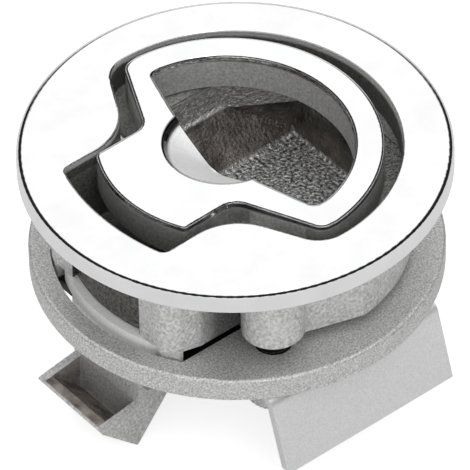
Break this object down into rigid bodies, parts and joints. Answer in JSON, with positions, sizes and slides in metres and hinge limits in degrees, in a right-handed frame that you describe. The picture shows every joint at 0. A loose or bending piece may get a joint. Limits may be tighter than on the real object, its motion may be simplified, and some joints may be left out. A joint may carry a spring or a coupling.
{
  "type": "flush pull latch",
  "caption": "Round flush pull latch with a lift-up ring handle, clamping ring behind the panel and a sprung wedge tongue drawn back by the handle.",
  "frame": {"origin": "centre of the flange's underside, which seats on the panel's outer face", "axes": "+Z out of the panel along the flange's axis, +X towards the tongue, +Y to the left of the tongue, on the side plate's side"},
  "size_m": [0.061, 0.061, 0.0395],
  "materials": {
    "polished_casting": "mirror polished, cast inside",
    "blasted_casting": "bead blasted",
    "rough_casting": "rough cast",
    "sheet_steel": "satin sheet",
    "turned_steel": "turned",
    "spring_steel": "drawn wire"
  },
  "bodies": {
    "housing": {"backing_ring": "blasted_casting", "bolt_spring_left": "spring_steel", "bolt_spring_right": "spring_steel", "guide_strip_left": "sheet_steel", "guide_strip_right": "sheet_steel", "hinge_pin": "turned_steel", "housing": "polished_casting", "return_spring": "spring_steel", "ring_screw_1": "turned_steel", "ring_screw_2": "turned_steel", "ring_screw_3": "turned_steel", "ring_screw_4": "turned_steel", "ring_washer_1": "sheet_steel", "ring_washer_2": "sheet_steel", "side_plate": "sheet_steel", "spring_rod_left": "turned_steel", "spring_rod_right": "turned_steel", "strip_screw_left_1": "turned_steel", "strip_screw_left_2": "turned_steel", "strip_screw_right_1": "turned_steel", "strip_screw_right_2": "turned_steel"},
    "handle": {"pull_handle": "polished_casting"},
    "bolt": {"bolt_slide": "blasted_casting", "tongue": "rough_casting", "tongue_pin": "turned_steel"}
  },
  "joints": [
    {"name": "handle_hinge", "type": "hinge", "parent": "housing", "child": "handle", "pos_m": [0.009, 0, -0.0019], "axis": [0, 1, 0], "range_deg": [0, 19], "stiffness_Nm_per_rad": 0.107, "springref_deg": -25.21, "deforming": ["return_spring"]},
    {"name": "bolt_slide", "type": "slide", "parent": "housing", "child": "bolt", "axis": [1, 0, 0], "range_m": [-0.00359, 0], "deforming": ["bolt_spring_left", "bolt_spring_right"]}
  ],
  "couplings": [
    {"joint": "bolt_slide", "follows": "handle_hinge", "m_per_rad": -0.01082}
  ]
}
